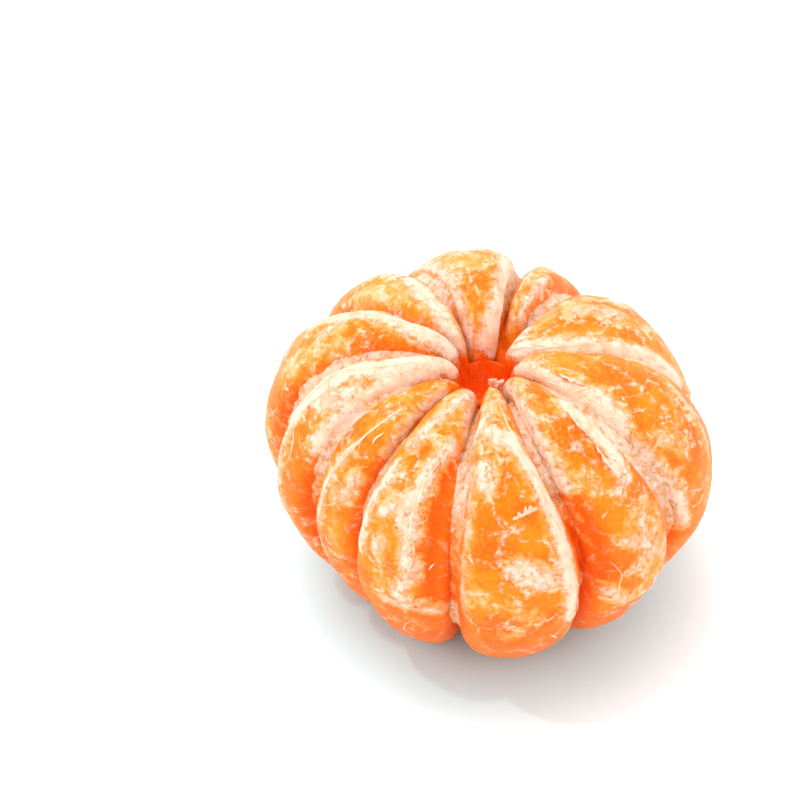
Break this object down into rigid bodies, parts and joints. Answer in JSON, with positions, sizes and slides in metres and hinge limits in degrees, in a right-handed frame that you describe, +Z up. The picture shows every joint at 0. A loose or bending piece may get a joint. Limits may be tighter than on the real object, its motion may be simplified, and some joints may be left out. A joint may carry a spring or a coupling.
{
  "type": "peeled mandarin",
  "caption": "Peeled mandarin standing upright: a ring of plump segments around an open core, with pith strands on the skin.",
  "frame": {"origin": "middle of the base, at the height of the flats that the segments stand on", "axes": "+Z up along the open core, -Y towards the front of the fruit, +X to the front view's right"},
  "size_m": [0.0616, 0.0597, 0.0425],
  "materials": {
    "segment_flesh": "moist translucent orange segment under a thin pale skin",
    "pith": "soft fibrous off-white pith"
  },
  "bodies": {
    "root": {"segment_01": "segment_flesh", "segment_02": "segment_flesh", "segment_03": "segment_flesh", "segment_04": "segment_flesh", "segment_05": "segment_flesh", "segment_06": "segment_flesh", "segment_07": "segment_flesh", "segment_08": "segment_flesh", "segment_09": "segment_flesh", "segment_10": "segment_flesh", "segment_11": "segment_flesh", "pith_strand_01": "pith", "pith_strand_02": "pith", "pith_strand_03": "pith", "pith_strand_04": "pith", "pith_strand_05": "pith", "pith_strand_06": "pith", "pith_strand_07": "pith", "pith_strand_08": "pith", "pith_strand_09": "pith", "pith_strand_10": "pith", "pith_strand_11": "pith", "core_pith_curl": "pith"}
  },
  "joints": []
}
